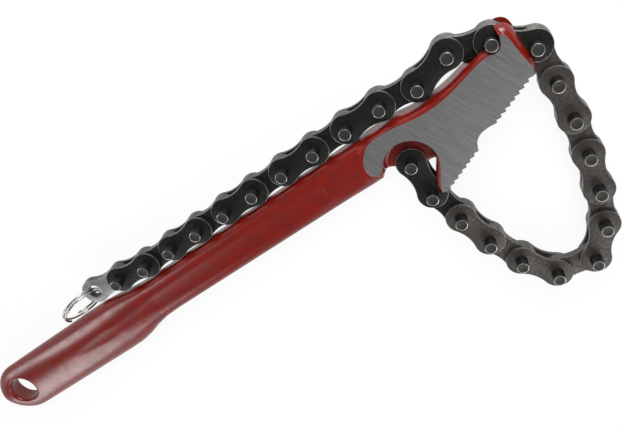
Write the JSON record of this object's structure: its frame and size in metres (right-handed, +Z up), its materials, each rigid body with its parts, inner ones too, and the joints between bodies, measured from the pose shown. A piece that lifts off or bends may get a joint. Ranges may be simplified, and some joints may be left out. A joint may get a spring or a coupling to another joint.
{
  "type": "chain pipe wrench",
  "caption": "Chain pipe wrench: red forged handle with toothed jaw, black leaf chain hooked into a loop, slack chain and split ring along the handle.",
  "frame": {"origin": "on the handle's centre line, on the ground lower face of the jaw", "axes": "+X along the handle towards the jaw, +Y towards the side where the slack chain lies, +Z up out of the jaw's upper face"},
  "size_m": [0.3115, 0.119, 0.0212],
  "materials": {
    "red_enamel": "gloss enamel on forged steel; the jaw's two wide faces ground bare",
    "blackened_steel": "blackened, lightly oiled",
    "nickel_wire": "bright nickel"
  },
  "bodies": {
    "wrench": {"handle": "red_enamel"},
    "link_01": {"link_01_pin_plate": "blackened_steel", "link_01_cap_plate": "blackened_steel"},
    "link_02": {"link_02_upper_plate": "blackened_steel", "link_02_lower_plate": "blackened_steel"},
    "link_03": {"link_03_pin_plate": "blackened_steel", "link_03_cap_plate": "blackened_steel"},
    "link_04": {"link_04_upper_plate": "blackened_steel", "link_04_lower_plate": "blackened_steel"},
    "link_05": {"link_05_pin_plate": "blackened_steel", "link_05_cap_plate": "blackened_steel"},
    "link_06": {"link_06_upper_plate": "blackened_steel", "link_06_lower_plate": "blackened_steel"},
    "link_07": {"link_07_pin_plate": "blackened_steel", "link_07_cap_plate": "blackened_steel"},
    "link_08": {"link_08_upper_plate": "blackened_steel", "link_08_lower_plate": "blackened_steel"},
    "link_09": {"link_09_pin_plate": "blackened_steel", "link_09_cap_plate": "blackened_steel"},
    "link_10": {"link_10_upper_plate": "blackened_steel", "link_10_lower_plate": "blackened_steel"},
    "link_11": {"link_11_pin_plate": "blackened_steel", "link_11_cap_plate": "blackened_steel"},
    "link_12": {"link_12_upper_plate": "blackened_steel", "link_12_lower_plate": "blackened_steel"},
    "link_13": {"link_13_pin_plate": "blackened_steel", "link_13_cap_plate": "blackened_steel"},
    "link_14": {"link_14_upper_plate": "blackened_steel", "link_14_lower_plate": "blackened_steel"},
    "link_15": {"link_15_pin_plate": "blackened_steel", "link_15_cap_plate": "blackened_steel"},
    "link_16": {"link_16_upper_plate": "blackened_steel", "link_16_lower_plate": "blackened_steel"},
    "link_17": {"link_17_pin_plate": "blackened_steel", "link_17_cap_plate": "blackened_steel"},
    "link_18": {"link_18_upper_plate": "blackened_steel", "link_18_lower_plate": "blackened_steel"},
    "link_19": {"link_19_pin_plate": "blackened_steel", "link_19_cap_plate": "blackened_steel"},
    "link_20": {"link_20_upper_plate": "blackened_steel", "link_20_lower_plate": "blackened_steel"},
    "link_21": {"link_21_pin_plate": "blackened_steel", "link_21_cap_plate": "blackened_steel"},
    "link_22": {"link_22_upper_plate": "blackened_steel", "link_22_lower_plate": "blackened_steel"},
    "link_23": {"link_23_pin_plate": "blackened_steel", "link_23_cap_plate": "blackened_steel"},
    "link_24": {"link_24_upper_plate": "blackened_steel", "link_24_lower_plate": "blackened_steel"},
    "link_25": {"link_25_pin_plate": "blackened_steel", "link_25_cap_plate": "blackened_steel"},
    "link_26": {"link_26_upper_plate": "blackened_steel", "link_26_lower_plate": "blackened_steel"},
    "ring": {"split_ring": "nickel_wire"}
  },
  "joints": [
    {"name": "hinge_00", "type": "hinge", "parent": "wrench", "child": "link_01", "pos_m": [-0.0279, -0.0098, 0.007], "axis": [0, 0, 1], "range_deg": [0, 0.6]},
    {"name": "hinge_01", "type": "hinge", "parent": "link_01", "child": "link_02", "pos_m": [-0.02881, -0.02565, 0.007], "axis": [0, 0, 1], "range_deg": [0, 0.9]},
    {"name": "hinge_02", "type": "hinge", "parent": "link_02", "child": "link_03", "pos_m": [-0.02578, -0.04123, 0.007], "axis": [0, 0, 1], "range_deg": [0, 6]},
    {"name": "hinge_03", "type": "hinge", "parent": "link_03", "child": "link_04", "pos_m": [-0.02218, -0.05669, 0.007], "axis": [0, 0, 1], "range_deg": [0, 10.5]},
    {"name": "hinge_04", "type": "hinge", "parent": "link_04", "child": "link_05", "pos_m": [-0.01674, -0.07161, 0.007], "axis": [0, 0, 1], "range_deg": [0, 9]},
    {"name": "hinge_05", "type": "hinge", "parent": "link_05", "child": "link_06", "pos_m": [-0.00786, -0.08477, 0.007], "axis": [0, 0, 1], "range_deg": [0, 3.6]},
    {"name": "hinge_06", "type": "hinge", "parent": "link_06", "child": "link_07", "pos_m": [0.00785, -0.087, 0.007], "axis": [0, 0, 1], "range_deg": [-9, 0]},
    {"name": "hinge_07", "type": "hinge", "parent": "link_07", "child": "link_08", "pos_m": [0.01823, -0.07499, 0.007], "axis": [0, 0, 1], "range_deg": [-10.5, 0]},
    {"name": "hinge_08", "type": "hinge", "parent": "link_08", "child": "link_09", "pos_m": [0.02387, -0.06015, 0.007], "axis": [0, 0, 1], "range_deg": [-7.5, 0]},
    {"name": "hinge_09", "type": "hinge", "parent": "link_09", "child": "link_10", "pos_m": [0.02783, -0.04477, 0.007], "axis": [0, 0, 1], "range_deg": [-2.4, 0]},
    {"name": "hinge_10", "type": "hinge", "parent": "link_10", "child": "link_11", "pos_m": [0.03076, -0.02917, 0.007], "axis": [0, 0, 1], "range_deg": [-0.6, 0]},
    {"name": "hinge_11", "type": "hinge", "parent": "link_11", "child": "link_12", "pos_m": [0.0327, -0.01342, 0.007], "axis": [0, 0, 1], "range_deg": [-0.6, 0]},
    {"name": "hinge_12", "type": "hinge", "parent": "link_12", "child": "link_13", "pos_m": [0.03383, 0.00242, 0.007], "axis": [0, 0, 1], "range_deg": [0, 21]},
    {"name": "hinge_13", "type": "hinge", "parent": "link_13", "child": "link_14", "pos_m": [0.022, 0.013, 0.007], "axis": [0, 0, 1], "range_deg": [-21, 0]},
    {"name": "hinge_14", "type": "hinge", "parent": "link_14", "child": "link_15", "pos_m": [0.00701, 0.01824, 0.007], "axis": [0, 0, 1], "range_deg": [-22, 0]},
    {"name": "hinge_15", "type": "hinge", "parent": "link_15", "child": "link_16", "pos_m": [-0.00838, 0.01435, 0.007], "axis": [0, 0, 1], "range_deg": [-22, 0]},
    {"name": "hinge_16", "type": "hinge", "parent": "link_16", "child": "link_17", "pos_m": [-0.02414, 0.01625, 0.007], "axis": [0, 0, 1], "range_deg": [-22, 0]},
    {"name": "hinge_17", "type": "hinge", "parent": "link_17", "child": "link_18", "pos_m": [-0.04001, 0.01625, 0.007], "axis": [0, 0, 1], "range_deg": [-22, 0]},
    {"name": "hinge_18", "type": "hinge", "parent": "link_18", "child": "link_19", "pos_m": [-0.05589, 0.01625, 0.007], "axis": [0, 0, 1], "range_deg": [-22, 0]},
    {"name": "hinge_19", "type": "hinge", "parent": "link_19", "child": "link_20", "pos_m": [-0.07176, 0.01625, 0.007], "axis": [0, 0, 1], "range_deg": [-22, 0]},
    {"name": "hinge_20", "type": "hinge", "parent": "link_20", "child": "link_21", "pos_m": [-0.08764, 0.01625, 0.007], "axis": [0, 0, 1], "range_deg": [-22, 0]},
    {"name": "hinge_21", "type": "hinge", "parent": "link_21", "child": "link_22", "pos_m": [-0.10351, 0.01625, 0.007], "axis": [0, 0, 1], "range_deg": [-22, 0]},
    {"name": "hinge_22", "type": "hinge", "parent": "link_22", "child": "link_23", "pos_m": [-0.11939, 0.01625, 0.007], "axis": [0, 0, 1], "range_deg": [-22, 0]},
    {"name": "hinge_23", "type": "hinge", "parent": "link_23", "child": "link_24", "pos_m": [-0.13526, 0.01631, 0.007], "axis": [0, 0, 1], "range_deg": [-22, 0]},
    {"name": "hinge_24", "type": "hinge", "parent": "link_24", "child": "link_25", "pos_m": [-0.15114, 0.01639, 0.007], "axis": [0, 0, 1], "range_deg": [-22, 0]},
    {"name": "hinge_25", "type": "hinge", "parent": "link_25", "child": "link_26", "pos_m": [-0.16693, 0.01803, 0.007], "axis": [0, 0, 1], "range_deg": [-22, 0]},
    {"name": "ring_hinge", "type": "hinge", "parent": "link_26", "child": "ring", "pos_m": [-0.18272, 0.0196, 0.007], "axis": [0, 0, 1], "range_deg": [-90, 0]}
  ],
  "couplings": [
    {"joint": "hinge_00", "follows": "hinge_03", "ratio": 0.057143},
    {"joint": "hinge_01", "follows": "hinge_03", "ratio": 0.085714},
    {"joint": "hinge_02", "follows": "hinge_03", "ratio": 0.57143},
    {"joint": "hinge_04", "follows": "hinge_03", "ratio": 0.85714},
    {"joint": "hinge_05", "follows": "hinge_03", "ratio": 0.34286},
    {"joint": "hinge_06", "follows": "hinge_03", "ratio": -0.85714},
    {"joint": "hinge_07", "follows": "hinge_03", "ratio": -1},
    {"joint": "hinge_08", "follows": "hinge_03", "ratio": -0.71429},
    {"joint": "hinge_09", "follows": "hinge_03", "ratio": -0.22857},
    {"joint": "hinge_10", "follows": "hinge_03", "ratio": -0.057143},
    {"joint": "hinge_11", "follows": "hinge_03", "ratio": -0.057143},
    {"joint": "hinge_12", "follows": "hinge_03", "ratio": 2},
    {"joint": "hinge_13", "follows": "hinge_03", "ratio": -2}
  ]
}
